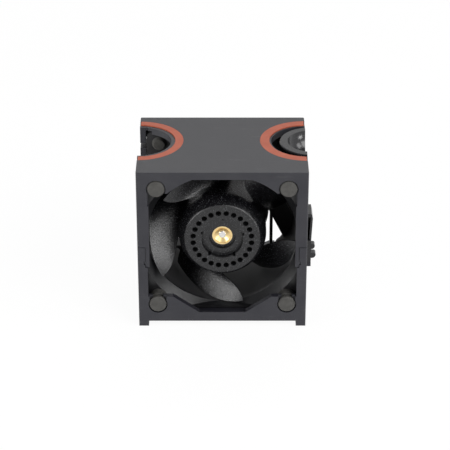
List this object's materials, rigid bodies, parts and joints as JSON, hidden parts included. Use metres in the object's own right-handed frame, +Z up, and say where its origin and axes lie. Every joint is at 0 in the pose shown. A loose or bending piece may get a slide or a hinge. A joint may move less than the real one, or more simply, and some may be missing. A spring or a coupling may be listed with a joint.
{
  "type": "server fan module",
  "caption": "Hot-plug server fan module: an axial fan on rubber pins in a two-part plastic carrier with coloured finger holes, a sprung thumb latch and a plug underneath.",
  "frame": {"origin": "middle of the plane of the foot rails, straight under the fan axis", "axes": "+Z up, +Y the way the air leaves, so -Y faces whoever looks into the inlet, and +X on the latch side"},
  "size_m": [0.0696, 0.05, 0.0669],
  "materials": {
    "housing_plastic": "fine moulded grain, satin charcoal",
    "touch_plastic": "fine grain, dull terracotta",
    "latch_plastic": "smooth, glossy on the thumb pad",
    "pin_rubber": "matt, faint mould line",
    "fan_plastic": "glass-filled, matt",
    "impeller_plastic": "glass-filled, slightly speckled",
    "bush_brass": "turned",
    "bearing_steel": "ground",
    "spring_steel": "hardened",
    "yoke_steel": "drawn, zinc plated",
    "magnet": "bonded ferrite",
    "lamination_steel": "stacked laminations",
    "insulator_nylon": "natural nylon",
    "copper_wire": "enamelled copper winding",
    "board_laminate": "solder mask",
    "chip_epoxy": "moulded",
    "chip_ceramic": "fired ceramic",
    "connector_nylon": "glass-filled nylon",
    "contact_metal": "plated spring bronze"
  },
  "bodies": {
    "housing": {"upper_cover": "housing_plastic", "lower_bracket": "housing_plastic", "touch_ring_left": "touch_plastic", "touch_ring_right": "touch_plastic", "front_isolator_pins": "pin_rubber", "rear_isolator_pins": "pin_rubber", "fan_frame": "fan_plastic", "front_bearing_outer_race": "bearing_steel", "rear_bearing_outer_race": "bearing_steel", "bearing_tube": "bush_brass", "bearing_cap": "fan_plastic", "stator_core": "lamination_steel", "front_insulator": "insulator_nylon", "rear_insulator": "insulator_nylon", "stator_coils": "copper_wire", "circuit_board": "board_laminate", "hall_sensor": "chip_epoxy", "driver_chip": "chip_epoxy", "board_capacitors": "chip_ceramic", "power_connector": "connector_nylon", "power_contacts": "contact_metal"},
    "rotor": {"impeller": "impeller_plastic", "hub_bush": "bush_brass", "shaft": "bearing_steel", "retaining_ring": "spring_steel", "preload_washer": "spring_steel", "front_bearing_inner_race": "bearing_steel", "rear_bearing_inner_race": "bearing_steel", "rotor_yoke": "yoke_steel", "magnet_ring": "magnet"},
    "ball_sets": {"front_bearing_balls": "bearing_steel", "rear_bearing_balls": "bearing_steel"},
    "latch": {"release_latch": "latch_plastic"}
  },
  "joints": [
    {"name": "rotor_spin", "type": "hinge", "parent": "housing", "child": "rotor", "pos_m": [0, 0, 0.0349], "axis": [0, 1, 0], "continuous": true},
    {"name": "ball_sets_spin", "type": "hinge", "parent": "housing", "child": "ball_sets", "pos_m": [0, 0, 0.0349], "axis": [0, 1, 0], "continuous": true},
    {"name": "latch_press", "type": "hinge", "parent": "housing", "child": "latch", "pos_m": [0.0341, 0.0034, 0.0163], "axis": [0, -1, 0], "range_deg": [0, 2.6], "stiffness_Nm_per_rad": 4.8}
  ],
  "couplings": [
    {"joint": "ball_sets_spin", "follows": "rotor_spin", "ratio": 0.3545}
  ]
}
